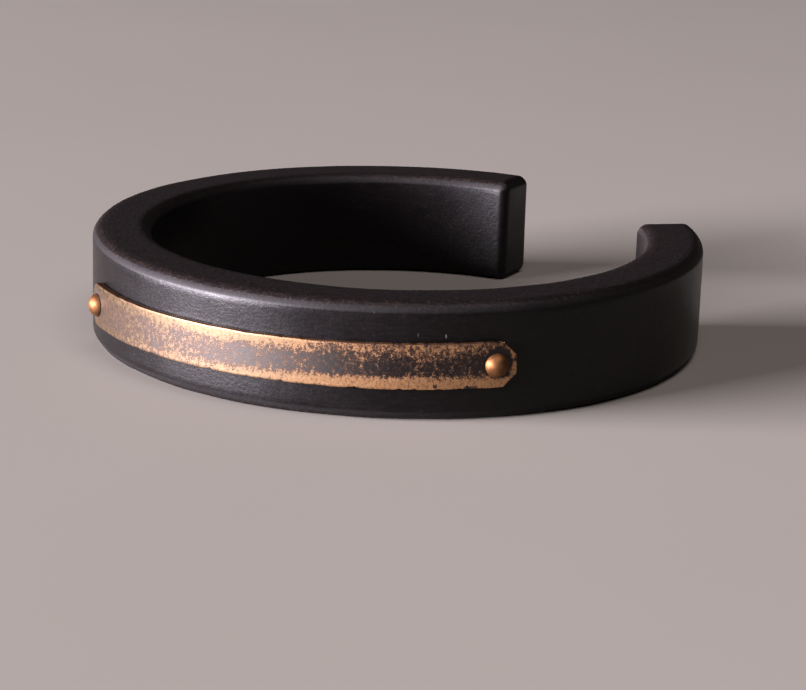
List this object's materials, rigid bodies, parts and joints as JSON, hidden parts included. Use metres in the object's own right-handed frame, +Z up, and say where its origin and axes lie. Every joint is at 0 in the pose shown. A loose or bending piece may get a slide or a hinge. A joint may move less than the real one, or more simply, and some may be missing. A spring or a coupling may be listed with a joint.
{
  "type": "cuff bracelet",
  "caption": "Rigid C-shaped wooden cuff bracelet with a curved metal strip riveted along its outer wall, open at one side for the wrist.",
  "frame": {"origin": "on the wrist axis, in the plane of the flat side that the cuff lies on", "axes": "+Z up along the wrist axis; -Y towards the front, where the strip shows; the gap between the ends is behind and to the right, about 37 degrees from +X towards +Y"},
  "size_m": [0.072, 0.0728, 0.013],
  "materials": {
    "ebony": "satin, hand-rubbed near-black ebony",
    "aged_bronze": "dark patina worn back to bright bronze along the edges",
    "polished_bronze": "polished bronze"
  },
  "bodies": {
    "root": {"cuff_band": "ebony", "bronze_strip": "aged_bronze", "rivet_front": "polished_bronze", "rivet_side": "polished_bronze"}
  },
  "joints": []
}
